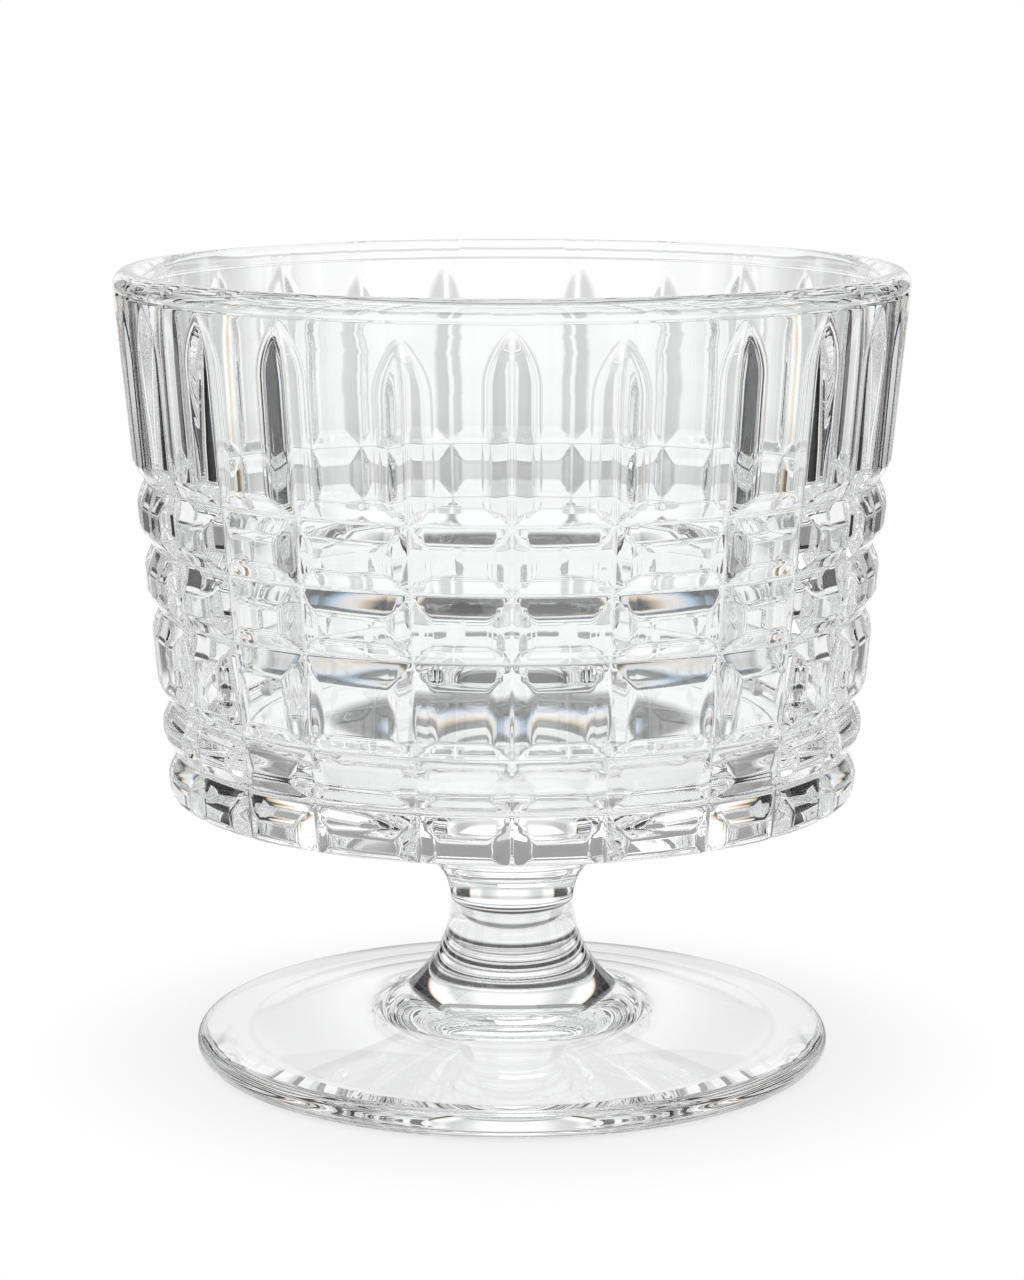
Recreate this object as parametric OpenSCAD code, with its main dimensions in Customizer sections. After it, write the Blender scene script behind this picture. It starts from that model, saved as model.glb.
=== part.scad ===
// Footed trifle bowl in clear pressed crystal.
// Three pieces of glass, fused hot: the cut bowl, the waisted stem and the round foot.
// Millimetres. +Z is up, the origin is the centre of the foot on the table, the front is -Y.

/* [Bowl] */
// Height of the whole object, table to the top of the lip
total_h = 206; // [185:1:230]
// Widest diameter, at the lip
rim_d = 203; // [190:1:220]
// Thickness of the wall at the rounded lip
rim_t = 7.8; // [7:0.1:9]
// Height of the bowl's lower edge above the table
bowl_foot_z = 70; // [66:0.5:74]
// Lean of the outer wall, in degrees from upright
outer_lean = 5.5; // [4:0.1:7]
// Lean of the upper part of the inner wall, in degrees from upright
upper_inner_lean = 3.3; // [2.5:0.1:4.5]
// Lean of the lower part of the inner wall, in degrees from upright
lower_inner_lean = 6.9; // [6:0.1:7.5]
// Distance from the lip's top down to the bend between both parts of the inner wall
inner_bend_drop = 54; // [45:1:60]
// Height of the inside floor above the bowl's lower edge
floor_rise = 14; // [10:0.5:18]
// Radius between the inside wall and the inside floor
inside_corner_r = 14; // [8:0.5:20]
// Radius on the lower outside edge
lower_edge_r = 3; // [1:0.1:4.5]

/* [Cut pattern] */
// Depth of every mitre cut below the wall
cut_depth = 2.75; // [1.5:0.05:3.5]
// Half width of an upright mitre cut
upright_cut_half_w = 4.8; // [3.5:0.1:5.4]
// Height of the bevel above each level cut
bevel_above_h = 4.1; // [3:0.1:4.6]
// Height of the bevel below each level cut
bevel_below_h = 5.4; // [4:0.1:5.8]
// Distance from the lip's top down to the first level cut
first_cut_drop = 53.1; // [48:0.1:58]
// Height of the first and second rows of windows
small_row_h = 16.6; // [15:0.1:19]
// Height of the third, tall row of windows
tall_row_h = 23.7; // [20:0.1:26]
// Height of the fourth row of windows
low_row_h = 13.7; // [12.5:0.1:15]
// Width of a wide column as a share of a narrow one
wide_share = 1.22; // [1:0.01:1.4]
// Width of the back column as a share of a narrow one
back_share = 1.5; // [1.2:0.01:1.8]

/* [Flutes] */
// Half width of a flute
flute_half_w = 5.7; // [4.5:0.1:6.2]
// Distance from the lip's top down to the tip of a tall flute
tall_tip_drop = 8; // [6.5:0.1:14]
// How much lower the tip of a short flute is
short_flute_step = 3; // [0:0.1:6]
// Radius of the wheel that runs each flute out at its tip
flute_wheel_r = 36; // [25:1:60]

/* [Stem] */
// Diameter of the waist
waist_d = 32.2; // [28:0.2:38]
// Height of the waist above the table
waist_z = 40; // [38:0.5:42]
// Radius of the flare from the waist up to the bowl
upper_flare_r = 15; // [12:0.5:17]
// Radius of the flare from the waist down to the foot
lower_flare_r = 28; // [25:0.5:31]
// Turn of the upper flare, in degrees, at the seam with the bowl
seam_turn = 45; // [35:1:55]
// Turn of the lower flare, in degrees, at the seam with the foot
foot_seam_turn = 60; // [50:1:68]

/* [Foot] */
// Diameter of the foot
foot_d = 166; // [150:1:180]
// Thickness of the foot's rounded edge
foot_edge_t = 7.2; // [6:0.1:9]
// Width of the flat ring that stands on the table
rest_ring_w = 9; // [5:0.5:14]
// Rise of the hollow under the foot
hollow_rise = 6.5; // [3:0.1:7.5]

/* [Hidden] */
$fn = 96;
// Sides of the wide arc of the hollow under the foot
hollow_sides = 1440;
// How far a cut passes beyond the surface that it opens, as a share of the cut
overrun_share = 0.6;
// Colour of the clear glass
glass = [0.9, 0.94, 0.95, 0.45];

// Lip: a full round, whose centre sets both walls
lip_r = rim_t / 2;
lip_x = rim_d / 2 - lip_r;
lip_z = total_h - lip_r;
// Radius of the outer wall at a height, tangent to the lip
function outer_r(z) = lip_x + lip_r / cos(outer_lean) + tan(outer_lean) * (z - lip_z);
// Inner wall: where it leaves the lip, and its bend
inner_touch = [lip_x - lip_r * cos(upper_inner_lean), lip_z + lip_r * sin(upper_inner_lean)];
bend_z = total_h - inner_bend_drop;
bend = [inner_touch.x - tan(upper_inner_lean) * (inner_touch.y - bend_z), bend_z];

// Inside floor and its rounded corner
floor_z = bowl_foot_z + floor_rise;
corner_z = floor_z + inside_corner_r;
corner_x = bend.x - tan(lower_inner_lean) * (bend_z - corner_z) - inside_corner_r / cos(lower_inner_lean);
corner_touch = [corner_x + inside_corner_r * cos(lower_inner_lean),
                corner_z - inside_corner_r * sin(lower_inner_lean)];

// Upper flare: one arc about flare_x, shared by the stem and the button under the bowl
waist_r = waist_d / 2;
flare_x = waist_r + upper_flare_r;
seam_x = flare_x - upper_flare_r * cos(seam_turn);
seam_z = waist_z + upper_flare_r * sin(seam_turn);
// Lower outside edge: a round that is tangent to the wall and lowest at bowl_foot_z
edge_z = bowl_foot_z + lower_edge_r;
edge_x = outer_r(edge_z) - lower_edge_r / cos(outer_lean);
// Underside of the bowl: a shallow cone from the flare's crown to the lowest point of the edge
crown_z = waist_z + upper_flare_r;
under_lean = atan((bowl_foot_z - crown_z) / (edge_x - flare_x));
under_touch = [flare_x - upper_flare_r * sin(under_lean), waist_z + upper_flare_r * cos(under_lean)];

// Heights of the level cuts, from the top one down
first_cut_z = total_h - first_cut_drop;
level_cuts = [first_cut_z,
              first_cut_z - small_row_h,
              first_cut_z - 2 * small_row_h,
              first_cut_z - 2 * small_row_h - tall_row_h,
              first_cut_z - 2 * small_row_h - tall_row_h - low_row_h];

// Columns along one side, from the front line to the back column, as shares of a narrow column
side_column_shares = [1, wide_share, 1, 1, wide_share, 1, 1, 1, 1, 1, 1];
last_line = len(side_column_shares);
narrow_deg = 360 / (2 * sum(side_column_shares, last_line) + back_share);
// Sum of the first n values of a list
function sum(v, n) = n == 0 ? 0 : v[n - 1] + sum(v, n - 1);
// Bearing of an upright cut from the front line, in degrees
function line_deg(i) = narrow_deg * sum(side_column_shares, i);
front_deg = -90;
// Lines with a short flute, counted from the front line on either side
short_flute_lines = [1, 5, 10];
function is_tall(i) = min([for (line = short_flute_lines) abs(line - i)]) > 0;

// A flute is measured along the wall, from the first level cut upwards
along_wall = 1 / cos(outer_lean);
wheel_reach = sqrt(flute_wheel_r * flute_wheel_r - pow(flute_wheel_r - cut_depth, 2));
function flute_run(tall) =
    (first_cut_drop - tall_tip_drop - (tall ? 0 : short_flute_step)) * along_wall - wheel_reach;
// An upright cut runs from below the lower edge to the first level cut
upright_run = (first_cut_z - bowl_foot_z) * along_wall + lower_edge_r;

// Foot: a full round edge, and a shallow hollow below
foot_edge_r = foot_edge_t / 2;
foot_edge_x = foot_d / 2 - foot_edge_r;
hollow_x = foot_edge_x - rest_ring_w;
hollow_r = (hollow_x * hollow_x + hollow_rise * hollow_rise) / (2 * hollow_rise);

// Lower flare: one arc about lower_flare_x, shared by the stem and the foot
lower_flare_x = waist_r + lower_flare_r;
foot_seam = [lower_flare_x - lower_flare_r * cos(foot_seam_turn),
             waist_z - lower_flare_r * sin(foot_seam_turn)];
// The foot's sloping top is tangent to the flare and to the round edge
centres = [foot_edge_x - lower_flare_x, waist_z - foot_edge_r];
top_lean = atan2(centres.y, centres.x) - asin((lower_flare_r + foot_edge_r) / norm(centres));
flare_end = [lower_flare_x - lower_flare_r * sin(top_lean), waist_z - lower_flare_r * cos(top_lean)];
top_end = [foot_edge_x + foot_edge_r * sin(top_lean), foot_edge_r + foot_edge_r * cos(top_lean)];

// Outline of the bowl's glass before it is cut, without the inside
module bowl_blank_outline() {
    polygon([[0, seam_z], [seam_x, seam_z], [under_touch.x, seam_z], under_touch,
             [edge_x, bowl_foot_z], [edge_x, edge_z],
             [edge_x + lower_edge_r * cos(outer_lean), edge_z - lower_edge_r * sin(outer_lean)],
             [lip_x + lip_r * cos(outer_lean), lip_z - lip_r * sin(outer_lean)],
             [lip_x, lip_z], inner_touch, [0, inner_touch.y]]);
    translate([edge_x, edge_z]) circle(lower_edge_r);
    translate([lip_x, lip_z]) circle(lip_r);
}

// Outline of the space inside the bowl
module bowl_inside_outline() {
    polygon([[0, floor_z], [corner_x, floor_z], [corner_x, corner_z], corner_touch, bend,
             inner_touch, [inner_touch.x, lip_z + rim_t], [0, lip_z + rim_t]]);
    translate([corner_x, corner_z]) circle(inside_corner_r);
}

// Outline of one level mitre cut at a height: a V, steeper above than below
module level_cut_outline(z) {
    root = [outer_r(z) - cut_depth, z];
    top = [outer_r(z + bevel_above_h), z + bevel_above_h];
    foot = [outer_r(z - bevel_below_h), z - bevel_below_h];
    polygon([root, top + overrun_share * (top - root), foot + overrun_share * (foot - root)]);
}

// Half outline of the bowl, with the level cuts
module bowl_outline() {
    difference() {
        bowl_blank_outline();
        bowl_inside_outline();
        translate([flare_x, waist_z]) circle(upper_flare_r);
        for (z = level_cuts) level_cut_outline(z);
    }
}

// A straight V cut along the wall: its root lies on Z, half_w is its half width at the surface
module v_cut(half_w, run) {
    opening = 1 + overrun_share;
    linear_extrude(run)
        polygon([[-cut_depth, 0], [overrun_share * cut_depth, opening * half_w],
                 [overrun_share * cut_depth, -opening * half_w]]);
}

// The rim of a V wheel, which leaves the wall in an arc above the straight part of a flute
module v_wheel(half_w) {
    opening = 1 + overrun_share;
    inner_r = flute_wheel_r - opening * cut_depth;
    translate([flute_wheel_r - cut_depth, 0, 0])
        rotate([90, 0, 0])
            rotate_extrude()
                polygon([[inner_r, -opening * half_w], [flute_wheel_r, 0], [inner_r, opening * half_w]]);
}

// One upright line of the pattern: the mitre cut between the windows and the flute above it
module upright_line(tall) {
    translate([outer_r(first_cut_z), 0, first_cut_z])
        rotate([0, outer_lean, 0]) {
            translate([0, 0, -upright_run]) v_cut(upright_cut_half_w, upright_run);
            v_cut(flute_half_w, flute_run(tall));
            translate([0, 0, flute_run(tall)]) v_wheel(flute_half_w);
        }
}

module bowl() {
    color(glass)
        difference() {
            rotate_extrude() bowl_outline();
            rotate(front_deg) upright_line(is_tall(0));
            for (i = [1 : last_line], side = [-1, 1])
                rotate(front_deg + side * line_deg(i)) upright_line(is_tall(i));
        }
}

// The space that the lower flare curves round
module lower_flare_outline() {
    intersection() {
        translate([lower_flare_x, waist_z]) circle(lower_flare_r);
        polygon([[0, waist_z], [0, flare_end.y], flare_end, [lower_flare_x, waist_z]]);
    }
}

module stem() {
    color(glass)
        rotate_extrude()
            difference() {
                polygon([[0, foot_seam.y], foot_seam, [foot_seam.x, waist_z],
                         [seam_x, waist_z], [seam_x, seam_z], [0, seam_z]]);
                lower_flare_outline();
                intersection() {
                    translate([flare_x, waist_z]) circle(upper_flare_r);
                    translate([0, waist_z]) square([flare_x, upper_flare_r]);
                }
            }
}

module foot() {
    color(glass)
        rotate_extrude()
            difference() {
                union() {
                    polygon([[0, 0], [foot_edge_x, 0], [foot_edge_x, foot_edge_r], top_end, flare_end,
                             foot_seam, [0, foot_seam.y]]);
                    translate([foot_edge_x, foot_edge_r]) circle(foot_edge_r);
                }
                lower_flare_outline();
                translate([0, hollow_rise - hollow_r])
                    intersection() {
                        circle(hollow_r, $fn = hollow_sides);
                        translate([0, -hollow_r]) square([hollow_r, 2 * hollow_r]);
                    }
            }
}

bowl();
stem();
foot();
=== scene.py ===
import math

import bmesh
import bpy
import numpy as np
from bpy.props import FloatProperty, FloatVectorProperty, PointerProperty
from mathutils.kdtree import KDTree
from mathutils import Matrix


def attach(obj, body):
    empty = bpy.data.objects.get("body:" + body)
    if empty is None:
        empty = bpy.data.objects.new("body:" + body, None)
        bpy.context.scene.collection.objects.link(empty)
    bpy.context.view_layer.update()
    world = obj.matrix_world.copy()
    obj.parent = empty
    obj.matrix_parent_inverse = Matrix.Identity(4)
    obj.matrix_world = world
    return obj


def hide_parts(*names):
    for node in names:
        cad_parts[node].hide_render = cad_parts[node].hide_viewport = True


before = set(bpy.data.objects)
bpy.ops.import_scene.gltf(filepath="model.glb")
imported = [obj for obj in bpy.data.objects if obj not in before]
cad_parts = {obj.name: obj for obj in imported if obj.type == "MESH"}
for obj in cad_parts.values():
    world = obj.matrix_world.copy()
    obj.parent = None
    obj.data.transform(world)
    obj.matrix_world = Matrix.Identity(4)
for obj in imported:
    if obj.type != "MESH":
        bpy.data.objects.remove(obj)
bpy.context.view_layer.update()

bl_info = {
    "name": "Footed trifle bowl",
    "version": (1, 0, 0),
    "blender": (4, 5, 0),
    "location": "View3D > Sidebar > Trifle bowl",
    "description": "Builds a cut crystal trifle bowl on its stem and foot, with a small studio",
    "category": "Mesh",
}

MM = 0.001
# Vertices closer than this are one
MERGE = 0.001 * MM
# Edges that turn more than this stay sharp
SMOOTH = math.radians(24)
# Steps of a round piece about the axis
ROUND_STEPS = 192
# Colours at the borders of light and dark, which the cuts spread into fine fringes
WARM, COOL = (0.8, 0.6, 0.4), (0.4, 0.58, 0.8)
# Distance from the axis over which the table is graded, in millimetres
GRADED_MM = 800
# Bearings, in degrees from straight behind, between which the table's back, side and front blend
BACK_TO_SIDE, SIDE_TO_FRONT = (26, 46), (85, 110)
# Heights between which the tent brightens
TENT_RISE = (50 * MM, 120 * MM)
# Upward share of a direction, and its bearing, between which the room's wall becomes its ceiling
CEILING_RISE, CEILING_BEARINGS = (0.3, 0.45), (50, 72)
# Place of the lamp, above and a little to the left
SOFTBOX_AT = (-250 * MM, 100 * MM, 1500 * MM)


def length(name, description, mm):
    """A length property, given in millimetres."""
    return FloatProperty(name=name, description=description, default=mm * MM, unit="LENGTH", precision=5)


def number(name, description, value):
    """A plain number: a level, a share or an index."""
    return FloatProperty(name=name, description=description, default=value)


def angle(name, description, deg):
    """An angle property, given in degrees."""
    return FloatProperty(name=name, description=description, default=math.radians(deg), subtype="ANGLE")


class BowlSizes(bpy.types.PropertyGroup):
    """Sizes of the bowl before it is cut."""

    total_h: length("Total height", "Table to the top of the lip", 206)
    rim_d: length("Rim diameter", "Widest diameter, at the lip", 203)
    rim_t: length("Rim thickness", "Thickness of the rounded lip", 7.8)
    foot_z: length("Lower edge", "Height of the bowl's lower edge", 70)
    outer_lean: angle("Outer lean", "Lean of the outer wall from upright", 5.5)
    inner_lean: angle("Inner lean", "Lean of the inner wall from upright, at the lip", 1.5)
    inner_sweep_r: length("Inner sweep", "Radius of the inner wall's gentle curve", 850)
    floor_rise: length("Floor rise", "Inside floor above the lower edge", 14)
    inside_corner_r: length("Inside corner", "Radius between the inside wall and floor", 14)
    lower_edge_r: length("Lower edge radius", "Radius on the lower outside edge", 3)
    crease_d: length("Crease depth", "Depth of the fine crease under the lip", 0.3)
    crease_h: length("Crease height", "Height of the fine crease under the lip", 1.6)


class CutSizes(bpy.types.PropertyGroup):
    """Sizes of the mitre cuts and the flutes."""

    depth: length("Depth", "Depth of every cut", 2.75)
    upright_half_w: length("Upright half width", "Half width of an upright cut", 4.8)
    bevel_above_h: length("Bevel above", "Height of the bevel above a level cut", 4.1)
    bevel_below_h: length("Bevel below", "Height of the bevel below a level cut", 5.4)
    first_drop: length("First cut", "From the lip's top to the first level cut", 53.1)
    small_row_h: length("Small row", "Height of the first and second rows", 16.6)
    tall_row_h: length("Tall row", "Height of the third row", 23.7)
    low_row_h: length("Low row", "Height of the fourth row", 13.7)
    wide_share: number("Wide column", "Wide column as a share of a narrow one", 1.22)
    back_share: number("Back column", "Back column as a share of a narrow one", 1.5)
    flute_half_w: length("Flute half width", "Half width of a flute", 5.7)
    tall_tip_drop: length("Tall tip", "From the lip's top to a tall flute's tip", 6.5)
    short_step: length("Short step", "How much lower a short flute's tip is", 3)
    wheel_r: length("Wheel radius", "Radius that a flute runs out with", 36)
    edge_round: number("Edge round", "Round on the cut edges, as a share of the depth", 0.28)
    flute_edge_round: number("Flute edge round", "Round on a flute's edges, as a share of the depth", 0.3)
    hip_round: number("Hip round", "Round where two cuts meet, as a share of the depth", 0.16)
    root_round: number("Root round", "Round in the root of a cut, as a share of its half width", 0.14)
    flute_root_round: number("Flute root round", "Round in a flute's root, as a share of its half width", 0.2)


class StemSizes(bpy.types.PropertyGroup):
    """Sizes of the stem."""

    waist_d: length("Waist diameter", "Diameter of the waist", 32.2)
    waist_z: length("Waist height", "Height of the waist above the table", 40)
    upper_flare_r: length("Upper flare", "Radius of the flare up to the bowl", 15)
    lower_flare_r: length("Lower flare", "Radius of the flare down to the foot", 28)
    seam_turn: angle("Seam turn", "Turn of the upper flare at the bowl's seam", 45)
    foot_seam_turn: angle("Foot seam turn", "Turn of the lower flare at the foot's seam", 60)


class FootSizes(bpy.types.PropertyGroup):
    """Sizes of the foot."""

    foot_d: length("Foot diameter", "Diameter of the foot", 166)
    edge_t: length("Edge thickness", "Thickness of the rounded edge", 7.2)
    rest_ring_w: length("Rest ring", "Width of the flat ring on the table", 9)
    hollow_rise: length("Hollow", "Rise of the hollow under the foot", 6.5)


class GlassFinish(bpy.types.PropertyGroup):
    """Finish of the clear crystal."""

    tint: FloatVectorProperty(
        name="Tint", description="Colour that the glass lets through",
        default=(0.985, 0.992, 0.99), subtype="COLOR", size=3)
    ior: number("Index", "Index of refraction of the crystal", 1.54)


class StageSettings(bpy.types.PropertyGroup):
    """Camera, table, light and the graded tent that draws the edges of the glass."""

    lens: number("Lens", "Focal length in millimetres", 101.0)
    distance: length("Distance", "Camera to the target on the axis", 933.4)
    elevation: angle("Elevation", "Camera above the level", 10.36)
    target_z: length("Target height", "Height that the camera looks at", 108.9)
    ceiling: number("Ceiling", "Level of the ceiling, where the walls are 1", 0.75)
    ceiling_back: number("Ceiling behind", "Level of the ceiling behind the bowl", 0.35)
    tent_r: length("Tent radius", "Radius of the graded tent that only the glass sees", 750)
    tent_h: length("Tent height", "Height of the tent", 400)
    tent_dark: number("Tent dark", "Level of the tent's dark strips", 0.01)
    tent_back: number("Tent back", "Level of the tent straight behind the bowl", 1.0)
    tent_fold: number("Tent fold", "Level of the grey folds beside the back", 0.68)
    tent_low: number("Tent low", "Strength of the tent next to the table", 0.75)
    tent_high: number("Tent high", "Strength of the tent above the bowl's waist", 1.05)
    table_r: length("Table radius", "Radius of the table", 4000)
    table_drop: length("Table drop", "Table below the foot, so that the faces don't touch", 0.3)
    shadow_in: length("Shadow inside", "Radius at which the table's shadow starts to fade", 84)
    shadow_out: length("Shadow outside", "Radius at which the table's shadow has faded", 135)
    softbox_power: number("Softbox power", "Power of the lamp, in watts", 6)
    softbox_w: length("Softbox width", "Width of the lamp", 1000)
    # Painted shadow: how dark the table looks to the glass just behind the foot, where the bowl's shadow
    # falls
    painted_shadow_level: number("Painted shadow", "Level of the painted shadow behind the foot, where the table is 1", 0.06)


GROUPS = {
    "bowl": BowlSizes, "cuts": CutSizes, "stem": StemSizes, "foot": FootSizes,
    "glass": GlassFinish, "stage": StageSettings,
}


class TrifleBowl(bpy.types.PropertyGroup):
    """Everything that a user can change."""

    bowl: PointerProperty(type=BowlSizes)
    cuts: PointerProperty(type=CutSizes)
    stem: PointerProperty(type=StemSizes)
    foot: PointerProperty(type=FootSizes)
    glass: PointerProperty(type=GlassFinish)
    stage: PointerProperty(type=StageSettings)


def arc(cx, cz, r, start, stop, steps):
    """Points of an arc in the outline's plane, both ends included."""
    return [(cx + r * math.cos(a), cz + r * math.sin(a)) for a in np.linspace(start, stop, steps)]


def line(a, b, steps):
    """Points between a and b, without the ends."""
    return [(a[0] + (b[0] - a[0]) * t, a[1] + (b[1] - a[1]) * t) for t in np.linspace(0, 1, steps + 2)[1:-1]]


class BowlShape:
    """Derived sizes of the bowl, in metres."""

    def __init__(self, p):
        b, s = p.bowl, p.stem
        self.lip_r = b.rim_t / 2
        self.lip_x = b.rim_d / 2 - self.lip_r
        self.lip_z = b.total_h - self.lip_r
        self.lean, self.in_lean = b.outer_lean, b.inner_lean
        self.crease_d, self.crease_h = b.crease_d, b.crease_h
        self.crease_z = self.lip_z - self.lip_r * math.sin(self.lean) - b.crease_h / 2
        self.edge_r = b.lower_edge_r
        self.edge_z = b.foot_z + b.lower_edge_r
        self.edge_x = self.outer_r(self.edge_z) - b.lower_edge_r / math.cos(self.lean)
        self.foot_z = b.foot_z
        self.flare_x = s.waist_d / 2 + s.upper_flare_r
        self.flare_r, self.waist_z = s.upper_flare_r, s.waist_z
        self.seam_x = self.flare_x - s.upper_flare_r * math.cos(s.seam_turn)
        self.seam_z = s.waist_z + s.upper_flare_r * math.sin(s.seam_turn)
        self.seam_turn = s.seam_turn
        self.under_lean = math.atan((b.foot_z - s.waist_z - s.upper_flare_r) / (self.edge_x - self.flare_x))
        self.floor_z = b.foot_z + b.floor_rise
        self.corner_r = b.inside_corner_r
        self.corner_z = self.floor_z + self.corner_r
        self.sweep_r = b.inner_sweep_r
        self.sweep_x = self.lip_x - (self.sweep_r + self.lip_r) * math.cos(self.in_lean)
        self.sweep_z = self.lip_z + (self.sweep_r + self.lip_r) * math.sin(self.in_lean)
        self.corner_lean = math.asin((self.sweep_z - self.corner_z) / (self.sweep_r - self.corner_r))
        self.corner_x = self.sweep_x + (self.sweep_r - self.corner_r) * math.cos(self.corner_lean)

    def outer_r(self, z):
        return self.lip_x + self.lip_r / math.cos(self.lean) + math.tan(self.lean) * (z - self.lip_z)

    def crease(self, z):
        """How deep the fine crease under the lip is at a height."""
        t = min(abs(z - self.crease_z) / (self.crease_h / 2), 1)
        return self.crease_d * (1 + math.cos(math.pi * t)) / 2


class FootShape:
    """Derived sizes of the foot and of the flare that it shares with the stem, in metres."""

    def __init__(self, p):
        f, s = p.foot, p.stem
        self.edge_r = f.edge_t / 2
        self.edge_x = f.foot_d / 2 - self.edge_r
        self.flare_r, self.waist_z = s.lower_flare_r, s.waist_z
        self.flare_x = s.waist_d / 2 + s.lower_flare_r
        self.seam_turn = s.foot_seam_turn
        self.seam_z = s.waist_z - s.lower_flare_r * math.sin(s.foot_seam_turn)
        dx, dz = self.edge_x - self.flare_x, s.waist_z - self.edge_r
        self.top_lean = math.atan2(dz, dx) - math.asin((s.lower_flare_r + self.edge_r) / math.hypot(dx, dz))
        self.hollow_x = self.edge_x - f.rest_ring_w
        self.hollow_r = (self.hollow_x ** 2 + f.hollow_rise ** 2) / (2 * f.hollow_rise)

    def flare(self, start, stop, steps):
        """Points of the flare between two turns from the waist."""
        return arc(self.flare_x, self.waist_z, self.flare_r, math.pi + start, math.pi + stop, steps)


class CutPattern:
    """Where the cuts lie and how deep they are."""

    # Shares of a cut's half width at which the mesh has an edge: its root, its flank and its rounded shoulder
    LANES = np.array([0, 0.07, 0.14, 0.43, 0.72, 0.82, 0.91, 1.0, 1.09, 1.18, 1.28])
    FLUTE_LANES = np.array([0, 0.1, 0.2, 0.45, 0.7, 0.8, 0.9, 1.0, 1.1, 1.2, 1.3])
    WINDOW_LANES = 1
    # Heights in the crease under the lip at which the mesh has an edge, as shares of its height
    CREASE_LANES = np.array([-0.5, -0.3, -0.15, 0, 0.15, 0.3])
    # Narrowest that a flute's lanes get towards its tip, as a share of its half width
    LEAST_LANE_SHARE = 0.36
    # Where a flute's own round begins, in bevel heights above the first level cut
    FLUTE_START_SHARE = 1.2
    # Least distance of a level edge from both ends of the wall
    MARGIN = 0.2 * MM
    # Round where an upright cut runs out over the lower edge
    RUN_OUT_ROUND = 0.3 * MM
    # Width on the underside over which the upright edges become evenly spaced
    EVEN_W = 20 * MM
    # Lines with a short flute, counted from the front line on either side
    SHORT_LINES = (1, 5, 10)

    def __init__(self, p, shape):
        c = p.cuts
        self.c, self.shape = c, shape
        w = c.wide_share
        side = [1, w, 1, 1, w, 1, 1, 1, 1, 1, 1]
        narrow = 2 * math.pi / (2 * sum(side) + c.back_share)
        half = [narrow * sum(side[:i]) for i in range(len(side) + 1)]
        tall = [i not in self.SHORT_LINES for i in range(len(half))]
        self.lines = [-a for a in half[:0:-1]] + half
        self.tall = tall[:0:-1] + tall
        first = p.bowl.total_h - c.first_drop
        self.levels = [first, first - c.small_row_h, first - 2 * c.small_row_h]
        self.levels.append(self.levels[-1] - c.tall_row_h)
        self.levels.append(self.levels[-1] - c.low_row_h)
        self.reach = math.sqrt(c.wheel_r ** 2 - (c.wheel_r - c.depth) ** 2) * math.cos(shape.lean)
        tall_tip = p.bowl.total_h - c.tall_tip_drop
        self.tip = {True: tall_tip, False: tall_tip - c.short_step}

    def heights(self, low, high):
        """Heights of the mesh's level edges on the wall, from low to high."""
        c = self.c
        zs = []
        for z in self.levels:
            zs += [z - k * c.bevel_below_h for k in self.LANES]
            zs += [z + k * c.bevel_above_h for k in self.LANES[1:]]
        cut_top = max(zs)
        rows = sorted(self.levels)
        for a, b, n in zip(rows, rows[1:], (0, 1, 0, 0)):
            lo, hi = a + self.LANES[-1] * c.bevel_above_h, b - self.LANES[-1] * c.bevel_below_h
            zs += list(np.linspace(lo, hi, n + 2)[1:-1])
        start = self.tip[False] - self.reach
        zs += list(np.linspace(cut_top, start, 4)[1:-1])
        crease = self.shape.crease_z + self.shape.crease_h * self.CREASE_LANES
        zs += list(np.linspace(start, crease[0], 20)[:-1]) + list(crease)
        return sorted(z for z in zs if low + self.MARGIN < z < high - self.MARGIN)

    def run_out(self, z, tall):
        """Depth of a flute's root at a height, as a share of the full depth."""
        c = self.c
        t = np.maximum(z - (self.tip[tall] - self.reach), 0) / math.cos(self.shape.lean)
        return (np.sqrt(np.maximum(c.wheel_r ** 2 - t ** 2, 0)) - (c.wheel_r - c.depth)) / c.depth

    def offsets(self, z, tall):
        """How far the mesh's upright edges lie from a line, at a height."""
        c, k, full = self.c, self.FLUTE_LANES, self.c.flute_half_w
        if z < self.levels[0] - 1e-6:
            return self.LANES * c.upright_half_w
        if z < self.levels[0] + 1e-6:
            return (self.LANES * c.upright_half_w + k * full) / 2
        w = full * max(float(self.run_out(z, tall)), self.LEAST_LANE_SHARE)
        edge = c.flute_edge_round
        return np.where(k <= 1 - edge, k * (w - edge * full) / (1 - edge), w + (k - 1) * full)

    def share(self, s, z, tall):
        """Depth of the cuts at a distance s from a line and a height z, as a share of the full depth."""
        c = self.c
        ring = -1.0
        for cut in self.levels:
            h = c.bevel_above_h if z > cut else c.bevel_below_h
            ring = max(ring, 1 - float(soft_abs(abs(z - cut) / h, c.root_round)))
        if z <= self.levels[0]:
            up = 1 - soft_abs(s / c.upright_half_w, c.root_round)
        else:
            root = np.where(tall, self.run_out(z, True), self.run_out(z, False))
            up = root - soft_abs(s / c.flute_half_w, c.flute_root_round)
        t = min(max((z - self.levels[0]) / c.bevel_above_h - self.FLUTE_START_SHARE, 0), 1)
        edge = c.edge_round + t * (c.flute_edge_round - c.edge_round)
        return soft_max(soft_max(up, ring, c.hip_round), 0.0, edge)


def soft_abs(x, k):
    """The size of x, rounded off below k."""
    return np.where(x > k, x, x * x / (2 * k) + k / 2)


def soft_max(a, b, k):
    """The larger of a and b, blended where they are within k of each other."""
    h = np.maximum(k - np.abs(a - b), 0) / k
    return np.maximum(a, b) + h * h * k / 4


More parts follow.
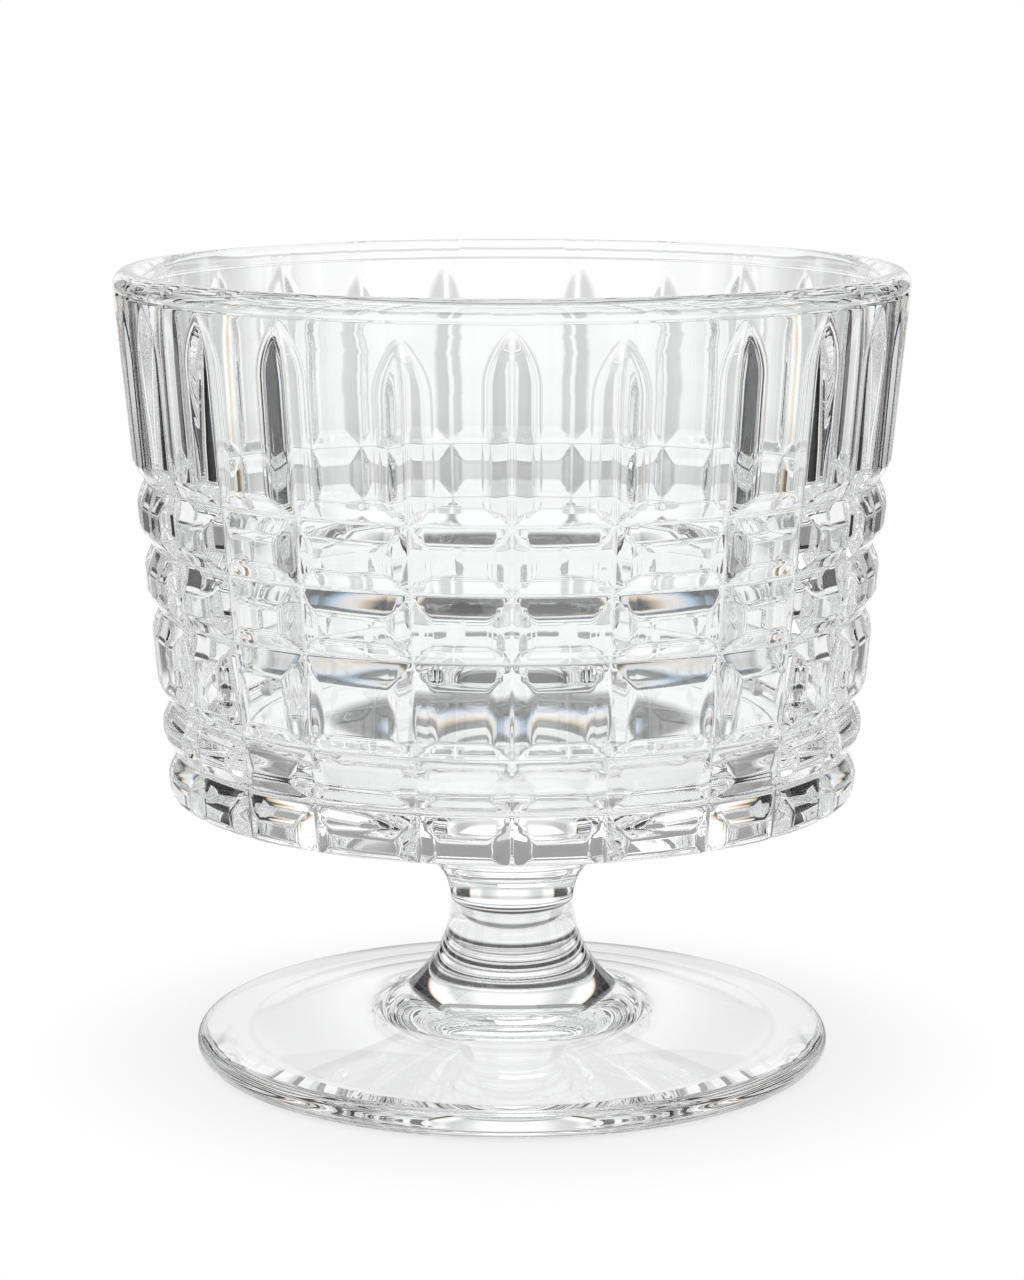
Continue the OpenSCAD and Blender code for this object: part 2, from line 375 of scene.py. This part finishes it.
def spin_piece(name, outline, steps):
    """Spins an outline of (radius, height) points round the axis into a closed mesh."""
    bpy.ops.object.select_all(action="DESELECT")
    mesh = bpy.data.meshes.new(name)
    mesh.from_pydata([(r, 0, z) for r, z in outline], [(i, i + 1) for i in range(len(outline) - 1)], [])
    piece = bpy.data.objects.new(name, mesh)
    bpy.context.scene.collection.objects.link(piece)
    bpy.context.view_layer.objects.active = piece
    piece.select_set(True)
    bpy.ops.object.modifier_add(type="SCREW")
    turn = piece.modifiers[-1]
    turn.axis, turn.angle = "Z", 2 * math.pi
    turn.steps = turn.render_steps = steps
    turn.use_merge_vertices = True
    turn.merge_threshold = MERGE
    bpy.ops.object.modifier_apply(modifier=turn.name)
    bpy.ops.object.mode_set(mode="EDIT")
    bpy.ops.mesh.select_all(action="SELECT")
    bpy.ops.mesh.remove_doubles(threshold=MERGE)
    bpy.ops.mesh.normals_make_consistent(inside=False)
    bpy.ops.object.mode_set(mode="OBJECT")
    return piece


def finish_piece(piece, node, seams, limit):
    """Smooths a piece, gives it its glass and its fused faces, and puts it in place of its solid."""
    mesh = piece.data
    mesh.materials.clear()
    mesh.materials.append(clear_crystal())
    mesh.materials.append(fused_joint())
    for poly in mesh.polygons:
        flat, at = abs(poly.normal.z) > 0.99, poly.center
        fused = any(abs(at.z - z) < 1e-5 and at.to_2d().length < r for z, r in seams)
        poly.material_index = int(flat and fused)
    bpy.ops.object.select_all(action="DESELECT")
    bpy.context.view_layer.objects.active = piece
    piece.select_set(True)
    bpy.ops.object.shade_smooth_by_angle(angle=limit)
    bpy.ops.object.modifier_add(type="WEIGHTED_NORMAL")
    piece.modifiers[-1].keep_sharp = True
    piece.modifiers[-1].weight = 80
    bpy.ops.object.modifier_apply(modifier=piece.modifiers[-1].name)
    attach(piece, "root")
    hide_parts(node)


def bowl_outline(shape, pattern):
    """Outline of the bowl from the stem's seam to the inside floor's middle, and what each point is on."""
    s = shape
    crown = math.pi / 2 + s.under_lean
    under = [(0, s.seam_z)] + arc(s.flare_x, s.waist_z, s.flare_r, math.pi - s.seam_turn, crown, 7)
    edge = arc(s.edge_x, s.edge_z, s.edge_r, -math.pi / 2, -s.lean, 7)
    under += line(under[-1], edge[0], 3)
    lip = arc(s.lip_x, s.lip_z, s.lip_r, -s.lean, math.pi - s.in_lean, 17)
    wall = [(s.outer_r(z) - s.crease(z), z) for z in pattern.heights(edge[-1][1], lip[0][1])]
    corner = arc(s.corner_x, s.corner_z, s.corner_r, -s.corner_lean, -math.pi / 2, 11)
    sweep = arc(s.sweep_x, s.sweep_z, s.sweep_r, -s.in_lean, -s.corner_lean, 10)
    inside = sweep[1:-1] + corner + line(corner[-1], (0, s.floor_z), 2) + [(0, s.floor_z)]
    parts = {"under": under, "edge": edge, "wall": wall, "lip": lip, "inside": inside}
    points = [point for part in parts.values() for point in part]
    kinds = [kind for kind, part in parts.items() for _ in part]
    return points, kinds


def cut_bowl(piece, shape, pattern, points, kinds):
    """Moves the spun bowl's upright edges onto the cuts and presses the cuts in."""
    c, lanes = pattern.c, len(pattern.LANES)
    inner = pattern.WINDOW_LANES
    per = 2 * lanes - 1 + inner
    columns = len(pattern.lines)
    starts = np.array(pattern.lines)
    ends = np.append(starts[1:], starts[0] + 2 * math.pi)
    spans = ends - starts
    count = per * columns
    azimuth = np.zeros((len(points), count))
    radius = np.zeros((len(points), count))
    even = np.concatenate([starts[k] + spans[k] * np.arange(per) / per for k in range(columns)])
    for i, ((r, z), kind) in enumerate(zip(points, kinds)):
        wall_r = shape.outer_r(min(max(z, shape.foot_z), shape.lip_z))
        spread, near, near_tall = [], [], []
        for k in range(columns):
            right = pattern.offsets(z, pattern.tall[k])
            left = pattern.offsets(z, pattern.tall[(k + 1) % columns])
            width = spans[k] * wall_r
            mid = np.linspace(right[-1], width - left[-1], inner + 2)[1:-1]
            s = np.concatenate([right, mid, (width - left[:0:-1])])
            spread.append(starts[k] + s / wall_r)
            first = s < width / 2
            near.append(np.where(first, s, width - s))
            near_tall.append(np.where(first, pattern.tall[k], pattern.tall[(k + 1) % columns]))
        spread, near, near_tall = map(np.concatenate, (spread, near, near_tall))
        if kind == "wall":
            azimuth[i] = spread
            radius[i] = r - c.depth * pattern.share(near, z, near_tall)
        elif kind == "edge":
            azimuth[i] = spread
            root = np.maximum(1 - soft_abs(near / c.upright_half_w, c.root_round), 0)
            cut = shape.outer_r(z) - c.depth * root
            radius[i] = -soft_max(np.full(count, -r), -cut, pattern.RUN_OUT_ROUND)
        else:
            if kind == "lip":
                t = min(max((z - shape.lip_z) / shape.lip_r, 0), 1) if r > shape.lip_x else 1
            elif kind == "inside":
                t = 1
            else:
                t = min(max((shape.edge_x - r) / pattern.EVEN_W, 0), 1)
            azimuth[i] = spread + (even - spread) * t
            radius[i] = r

    tree = KDTree(len(points))
    for i, (r, z) in enumerate(points):
        tree.insert((r, 0, z), i)
    tree.balance()
    mesh = piece.data
    co = np.zeros(len(mesh.vertices) * 3)
    mesh.vertices.foreach_get("co", co)
    co = co.reshape(-1, 3)
    turn = np.mod(np.round(np.arctan2(co[:, 1], co[:, 0]) / (2 * math.pi / count)).astype(int), count)
    flat_r = np.hypot(co[:, 0], co[:, 1])
    level = np.array([tree.find((r, 0, z))[1] for r, z in zip(flat_r, co[:, 2])])
    a, r = azimuth[level, turn], radius[level, turn]
    co[:, 0], co[:, 1] = r * np.sin(a), -r * np.cos(a)
    mesh.vertices.foreach_set("co", co.ravel())
    mesh.update()
    split_hips(mesh)


def split_hips(mesh):
    """Splits each folded square along its ridge, so that the hips between two bevels are straight."""
    bm = bmesh.new()
    bm.from_mesh(mesh)
    for face in list(bm.faces):
        if len(face.verts) != 4:
            continue
        v = face.verts
        one = ((v[0].co + v[2].co) / 2).to_2d().length
        two = ((v[1].co + v[3].co) / 2).to_2d().length
        if abs(one - two) > 2e-6:
            pair = (v[0], v[2]) if one > two else (v[1], v[3])
            bmesh.utils.face_split(face, *pair)
    bm.to_mesh(mesh)
    bm.free()
    mesh.update()


class TRIFLE_OT_bowl(bpy.types.Operator):
    """Spin the bowl, press its cuts in and give it its glass"""

    bl_idname = "trifle.bowl"
    bl_label = "Bowl"

    def execute(self, context):
        p = context.scene.trifle_bowl
        shape = BowlShape(p)
        pattern = CutPattern(p, shape)
        points, kinds = bowl_outline(shape, pattern)
        count = (2 * len(pattern.LANES) - 1 + pattern.WINDOW_LANES) * len(pattern.lines)
        piece = spin_piece("bowl_cut", points, count)
        cut_bowl(piece, shape, pattern, points, kinds)
        finish_piece(piece, "bowl", [(shape.seam_z, shape.seam_x)], SMOOTH)
        return {"FINISHED"}


class TRIFLE_OT_stem(bpy.types.Operator):
    """Spin the waisted stem"""

    bl_idname = "trifle.stem"
    bl_label = "Stem"

    def execute(self, context):
        p = context.scene.trifle_bowl
        shape, foot, s = BowlShape(p), FootShape(p), p.stem
        up = arc(shape.flare_x, s.waist_z, s.upper_flare_r, math.pi, math.pi - s.seam_turn, 17)
        points = [(0, foot.seam_z)] + foot.flare(foot.seam_turn, 0, 25) + up[1:] + [(0, shape.seam_z)]
        seams = [(shape.seam_z, shape.flare_x), (foot.seam_z, foot.flare_x)]
        piece = spin_piece("stem_waisted", points, ROUND_STEPS)
        finish_piece(piece, "stem", seams, SMOOTH)
        return {"FINISHED"}


class TRIFLE_OT_foot(bpy.types.Operator):
    """Spin the round foot with its hollow and rest ring"""

    bl_idname = "trifle.foot"
    bl_label = "Foot"

    def execute(self, context):
        p = context.scene.trifle_bowl
        foot, rise = FootShape(p), p.foot.hollow_rise
        turn = math.asin(foot.hollow_x / foot.hollow_r)
        hollow = arc(0, rise - foot.hollow_r, foot.hollow_r, math.pi / 2, math.pi / 2 - turn, 24)
        rolled = arc(foot.edge_x, foot.edge_r, foot.edge_r, -math.pi / 2, math.pi / 2 - foot.top_lean, 25)
        flare = foot.flare(math.pi / 2 - foot.top_lean, foot.seam_turn, 13)
        points = [(0, rise)] + hollow[1:-1] + [(foot.hollow_x, 0)] + rolled
        points += line(rolled[-1], flare[0], 10) + flare + [(0, foot.seam_z)]
        piece = spin_piece("foot_round", points, ROUND_STEPS)
        finish_piece(piece, "foot", [(foot.seam_z, flare[-1][0])], SMOOTH)
        return {"FINISHED"}


def new_material(name):
    """An empty node material."""
    mat = bpy.data.materials.new(name)
    mat.use_nodes = True
    mat.node_tree.nodes.clear()
    return mat


def pressed_surface():
    """A group for the faint unevenness of fire-polished pressed glass: a roughness and a height."""
    group = bpy.data.node_groups.get("pressed_surface")
    if group:
        return group
    group = bpy.data.node_groups.new("pressed_surface", "ShaderNodeTree")
    group.interface.new_socket("Scale", in_out="INPUT", socket_type="NodeSocketFloat").default_value = 60
    group.interface.new_socket("Roughness", in_out="OUTPUT", socket_type="NodeSocketFloat")
    group.interface.new_socket("Height", in_out="OUTPUT", socket_type="NodeSocketFloat")
    n, l = group.nodes, group.links
    start, end = n.new("NodeGroupInput"), n.new("NodeGroupOutput")
    coord = n.new("ShaderNodeTexCoord")
    swell = n.new("ShaderNodeTexNoise")
    swell.inputs["Detail"].default_value = 1.0
    fine = n.new("ShaderNodeTexNoise")
    fine.inputs["Scale"].default_value = 900
    fine.inputs["Detail"].default_value = 2.0
    spread = n.new("ShaderNodeMapRange")
    spread.inputs["From Min"].default_value = 0.45
    spread.inputs["From Max"].default_value = 0.75
    spread.inputs["To Max"].default_value = 0.02
    l.new(coord.outputs["Object"], swell.inputs["Vector"])
    l.new(coord.outputs["Object"], fine.inputs["Vector"])
    l.new(start.outputs["Scale"], swell.inputs["Scale"])
    l.new(fine.outputs["Fac"], spread.inputs["Value"])
    l.new(spread.outputs["Result"], end.inputs["Roughness"])
    l.new(swell.outputs["Fac"], end.inputs["Height"])
    return group


def clear_crystal():
    """Clear crystal: refracts, and lets lamps through to the table as real glass does."""
    mat = bpy.data.materials.get("clear_crystal")
    if mat:
        return mat
    g = bpy.context.scene.trifle_bowl.glass
    mat = new_material("clear_crystal")
    n, l = mat.node_tree.nodes, mat.node_tree.links
    out = n.new("ShaderNodeOutputMaterial")
    glass = n.new("ShaderNodeBsdfPrincipled")
    glass.inputs["Base Color"].default_value = (*g.tint, 1)
    glass.inputs["Transmission Weight"].default_value = 1.0
    glass.inputs["IOR"].default_value = g.ior
    surface = n.new("ShaderNodeGroup")
    surface.node_tree = pressed_surface()
    bump = n.new("ShaderNodeBump")
    bump.inputs["Strength"].default_value = 0.03
    bump.inputs["Distance"].default_value = 0.0004
    clear = n.new("ShaderNodeBsdfTransparent")
    clear.inputs["Color"].default_value = (0.95, 0.955, 0.955, 1)
    path = n.new("ShaderNodeLightPath")
    mix = n.new("ShaderNodeMixShader")
    l.new(surface.outputs["Roughness"], glass.inputs["Roughness"])
    l.new(surface.outputs["Height"], bump.inputs["Height"])
    l.new(bump.outputs["Normal"], glass.inputs["Normal"])
    l.new(path.outputs["Is Shadow Ray"], mix.inputs["Fac"])
    l.new(glass.outputs["BSDF"], mix.inputs[1])
    l.new(clear.outputs["BSDF"], mix.inputs[2])
    l.new(mix.outputs["Shader"], out.inputs["Surface"])
    return mat


def fused_joint():
    """Where two pieces are fused, light passes straight through."""
    mat = bpy.data.materials.get("fused_joint")
    if mat:
        return mat
    mat = new_material("fused_joint")
    n, l = mat.node_tree.nodes, mat.node_tree.links
    out = n.new("ShaderNodeOutputMaterial")
    clear = n.new("ShaderNodeBsdfTransparent")
    l.new(clear.outputs["BSDF"], out.inputs["Surface"])
    return mat


def maths(tree, operation, *values):
    """A math node of sockets and numbers, and its result."""
    node = tree.nodes.new("ShaderNodeMath")
    node.operation = operation
    for socket, value in zip(node.inputs, values):
        if isinstance(value, (int, float)):
            socket.default_value = value
        else:
            tree.links.new(value, socket)
    return node.outputs["Value"]


def ramp(tree, value, low, high, start, end):
    """A smooth step of a value between two limits."""
    node = tree.nodes.new("ShaderNodeMapRange")
    node.interpolation_type = "SMOOTHSTEP"
    for name, number in zip(("From Min", "From Max", "To Min", "To Max"), (low, high, start, end)):
        node.inputs[name].default_value = number
    tree.links.new(value, node.inputs["Value"])
    return node.outputs["Result"]


def levels(tree, value, span, stops):
    """Levels or colours along a value, given as (value, level) pairs."""
    node = tree.nodes.new("ShaderNodeValToRGB")
    ramp_stops = node.color_ramp.elements
    for i, (at, level) in enumerate(stops):
        stop = ramp_stops[i] if i < 2 else ramp_stops.new(at / span)
        stop.position = at / span
        stop.color = (*level, 1) if isinstance(level, tuple) else (level, level, level, 1)
    tree.links.new(maths(tree, "DIVIDE", value, span), node.inputs["Fac"])
    return node.outputs["Color"]


def bearing_of(tree, point):
    """Bearing of a point from straight behind the bowl, in degrees, the same on both sides."""
    axes = tree.nodes.new("ShaderNodeSeparateXYZ")
    tree.links.new(point, axes.inputs["Vector"])
    turn = maths(tree, "ARCTAN2", maths(tree, "ABSOLUTE", axes.outputs["X"]), axes.outputs["Y"])
    return maths(tree, "MULTIPLY", turn, 180 / math.pi)


def table_white(s):
    """A white table that keeps its shadow near the bowl and fades into the white room.

    The glass sees it graded: darker under and just behind the foot, a painted shadow of the bowl that the
    camera doesn't see, and dark rings further out, which draw the cuts.
    """
    mat = new_material("table_white")
    tree = mat.node_tree
    n, l = tree.nodes, tree.links
    out = n.new("ShaderNodeOutputMaterial")
    coord = n.new("ShaderNodeTexCoord")
    grain = n.new("ShaderNodeTexNoise")
    grain.inputs["Scale"].default_value = 40
    tone = n.new("ShaderNodeMix")
    tone.data_type = "RGBA"
    tone.inputs["A"].default_value = (0.94, 0.94, 0.94, 1)
    tone.inputs["B"].default_value = (0.96, 0.96, 0.96, 1)
    paper = n.new("ShaderNodeBsdfPrincipled")
    paper.inputs["Roughness"].default_value = 0.7
    paper.inputs["Specular IOR Level"].default_value = 0.1
    room = n.new("ShaderNodeEmission")
    graded = n.new("ShaderNodeEmission")
    graded.inputs["Strength"].default_value = 1.04
    path = n.new("ShaderNodeLightPath")
    away = n.new("ShaderNodeVectorMath")
    away.operation = "LENGTH"
    l.new(coord.outputs["Object"], grain.inputs["Vector"])
    l.new(grain.outputs["Fac"], tone.inputs["Factor"])
    l.new(tone.outputs["Result"], paper.inputs["Base Color"])
    l.new(coord.outputs["Object"], away.inputs[0])
    mm = maths(tree, "MULTIPLY", away.outputs["Value"], 1 / MM)
    turn, painted_shadow_level = bearing_of(tree, coord.outputs["Object"]), s.painted_shadow_level
    # Painted shadow: near the foot these levels are darker than the lit table and stand in for the bowl's
    # shadow; the dark rings further out draw the cuts
    back = levels(tree, mm, GRADED_MM, (
        (0, 0.86), (29, 0.86), (34, 0.1), (50, 0.1), (55, 0.88), (79, 0.88), (84, painted_shadow_level), (110, painted_shadow_level),
        (114, WARM), (117, 0.8), (123, 0.8), (126, COOL), (130, painted_shadow_level), (147, 0.12),
        (156, 1), (185, 1), (192, 0.35), (203, 0.35), (212, 1), (GRADED_MM, 1)))
    side = levels(tree, mm, GRADED_MM, (
        (0, 0.86), (82, 0.86), (92, 0.3), (120, 0.25), (145, 0.85), (195, 1), (208, 0.12), (245, 0.12),
        (258, 1), (330, 0.95), (345, 0.12), (390, 0.12), (410, 0.9), (520, 0.3), (GRADED_MM, 0.25)))
    front = levels(tree, mm, GRADED_MM, (
        (0, 0.86), (82, 0.86), (95, 0.85), (190, 0.8), (205, 0.2), (240, 0.2), (255, 0.8),
        (400, 0.4), (GRADED_MM, 0.25)))
    rear = n.new("ShaderNodeMix")
    rear.data_type = "RGBA"
    l.new(ramp(tree, turn, *BACK_TO_SIDE, 0, 1), rear.inputs["Factor"])
    l.new(back, rear.inputs["A"])
    l.new(side, rear.inputs["B"])
    whole = n.new("ShaderNodeMix")
    whole.data_type = "RGBA"
    l.new(ramp(tree, turn, *SIDE_TO_FRONT, 0, 1), whole.inputs["Factor"])
    l.new(rear.outputs["Result"], whole.inputs["A"])
    l.new(front, whole.inputs["B"])
    l.new(whole.outputs["Result"], graded.inputs["Color"])
    # Only rays through or off the glass see the graded levels with their painted shadow; the camera sees the
    # lit table
    seen = maths(tree, "MAXIMUM", path.outputs["Is Transmission Ray"], path.outputs["Is Glossy Ray"])
    table, dressed = n.new("ShaderNodeMixShader"), n.new("ShaderNodeMixShader")
    l.new(ramp(tree, away.outputs["Value"], s.shadow_in, s.shadow_out, 0.75, 1), table.inputs["Fac"])
    l.new(paper.outputs["BSDF"], table.inputs[1])
    l.new(room.outputs["Emission"], table.inputs[2])
    l.new(seen, dressed.inputs["Fac"])
    l.new(table.outputs["Shader"], dressed.inputs[1])
    l.new(graded.outputs["Emission"], dressed.inputs[2])
    l.new(dressed.outputs["Shader"], out.inputs["Surface"])
    return mat


def tent_cloth(s):
    """The tent round the bowl: bright cloth with two grey folds behind and dark strips at the sides."""
    mat = new_material("tent_cloth")
    tree = mat.node_tree
    out = tree.nodes.new("ShaderNodeOutputMaterial")
    coord = tree.nodes.new("ShaderNodeTexCoord")
    light = tree.nodes.new("ShaderNodeEmission")
    dark = s.tent_dark
    stops = (
        (0, s.tent_back), (8, s.tent_back), (12, 0.8), (15, s.tent_fold), (19, s.tent_fold), (22, 1),
        (30, 1), (31, WARM), (32, dark), (52, dark), (53, COOL), (54, 1),
        (61, 1), (62.5, WARM), (64, dark), (76, dark), (77, COOL), (78, 1),
        (83, 1), (85, 0.12), (95, 0.12), (97, 1), (109, 1), (111, 0.15), (127, 0.15), (129, 0.8),
        (154, 0.8), (156, 0.25), (161, 0.25), (163, 0.75), (180, 0.75))
    axes = tree.nodes.new("ShaderNodeSeparateXYZ")
    tree.links.new(coord.outputs["Object"], axes.inputs["Vector"])
    bearing = bearing_of(tree, coord.outputs["Object"])
    strength = ramp(tree, axes.outputs["Z"], *TENT_RISE, s.tent_low, s.tent_high)
    tree.links.new(levels(tree, bearing, 180, stops), light.inputs["Color"])
    tree.links.new(strength, light.inputs["Strength"])
    tree.links.new(light.outputs["Emission"], out.inputs["Surface"])
    return mat


def light_room(s):
    """A room with white walls and a ceiling that is dim behind the bowl."""
    world = bpy.data.worlds.new("light_room")
    bpy.context.scene.world = world
    world.use_nodes = True
    tree = world.node_tree
    tree.nodes.clear()
    out = tree.nodes.new("ShaderNodeOutputWorld")
    coord = tree.nodes.new("ShaderNodeTexCoord")
    axes = tree.nodes.new("ShaderNodeSeparateXYZ")
    back = tree.nodes.new("ShaderNodeBackground")
    back.inputs["Color"].default_value = (1, 1, 1, 1)
    tree.links.new(coord.outputs["Generated"], axes.inputs["Vector"])
    bearing = bearing_of(tree, coord.outputs["Generated"])
    ceiling = ramp(tree, bearing, *CEILING_BEARINGS, s.ceiling_back, s.ceiling)
    high = ramp(tree, axes.outputs["Z"], *CEILING_RISE, 0, 1)
    level = maths(tree, "MULTIPLY_ADD", maths(tree, "SUBTRACT", ceiling, 1.0), high, 1.0)
    tree.links.new(level, back.inputs["Strength"])
    tree.links.new(back.outputs["Background"], out.inputs["Surface"])


class TRIFLE_OT_stage(bpy.types.Operator):
    """Set the table, the tent, the lamp, the room and the camera"""

    bl_idname = "trifle.stage"
    bl_label = "Stage"

    def execute(self, context):
        s = context.scene.trifle_bowl.stage
        scene = context.scene
        bpy.ops.object.select_all(action="DESELECT")
        bpy.ops.mesh.primitive_circle_add(
            vertices=96, radius=s.table_r, fill_type="NGON", location=(0, 0, -s.table_drop))
        table = context.active_object
        table.name = "table"
        bpy.ops.object.transform_apply(location=True, rotation=True, scale=True)
        table.data.materials.append(table_white(s))
        bpy.ops.mesh.primitive_cylinder_add(
            vertices=180, radius=s.tent_r, depth=s.tent_h, end_fill_type="NOTHING",
            location=(0, 0, s.tent_h / 2))
        tent = context.active_object
        tent.name = "tent"
        bpy.ops.object.transform_apply(location=True, rotation=True, scale=True)
        tent.data.materials.append(tent_cloth(s))
        tent.visible_camera = tent.visible_diffuse = tent.visible_shadow = False

        lamp = bpy.data.lights.new("softbox", "AREA")
        lamp.energy = s.softbox_power
        lamp.size = s.softbox_w
        softbox = bpy.data.objects.new("softbox", lamp)
        softbox.location = SOFTBOX_AT
        scene.collection.objects.link(softbox)

        light_room(s)

        cam = bpy.data.cameras.new("camera")
        cam.lens = s.lens
        cam.sensor_width = 36
        camera = bpy.data.objects.new("camera", cam)
        back, up = s.distance * math.cos(s.elevation), s.distance * math.sin(s.elevation)
        camera.location = (0, -back, s.target_z + up)
        camera.rotation_euler = (math.pi / 2 - s.elevation, 0, 0)
        scene.collection.objects.link(camera)
        scene.camera = camera
        scene.view_settings.view_transform = "Standard"
        scene.cycles.max_bounces = 64
        scene.cycles.transmission_bounces = 48
        scene.cycles.glossy_bounces = 48
        scene.cycles.transparent_max_bounces = 32
        scene.cycles.caustics_reflective = False
        scene.cycles.caustics_refractive = False
        return {"FINISHED"}


class TRIFLE_PT_panel(bpy.types.Panel):
    """The bowl's sizes and the operators that build it"""

    bl_idname = "TRIFLE_PT_panel"
    bl_label = "Trifle bowl"
    bl_space_type = "VIEW_3D"
    bl_region_type = "UI"
    bl_category = "Trifle bowl"

    def draw(self, context):
        p = context.scene.trifle_bowl
        for name, group in GROUPS.items():
            box = self.layout.box()
            box.label(text=name.capitalize())
            for prop in group.__annotations__:
                box.prop(getattr(p, name), prop)
        for op in OPERATORS:
            self.layout.operator(op.bl_idname)


OPERATORS = (TRIFLE_OT_bowl, TRIFLE_OT_stem, TRIFLE_OT_foot, TRIFLE_OT_stage)
CLASSES = (*GROUPS.values(), TrifleBowl, *OPERATORS, TRIFLE_PT_panel)


def register():
    for cls in CLASSES:
        bpy.utils.register_class(cls)
    bpy.types.Scene.trifle_bowl = PointerProperty(type=TrifleBowl)


def unregister():
    del bpy.types.Scene.trifle_bowl
    for cls in reversed(CLASSES):
        bpy.utils.unregister_class(cls)


def main():
    register()
    for op in OPERATORS:
        group, name = op.bl_idname.split(".")
        getattr(getattr(bpy.ops, group), name)()


if __name__ == "__main__":
    main()
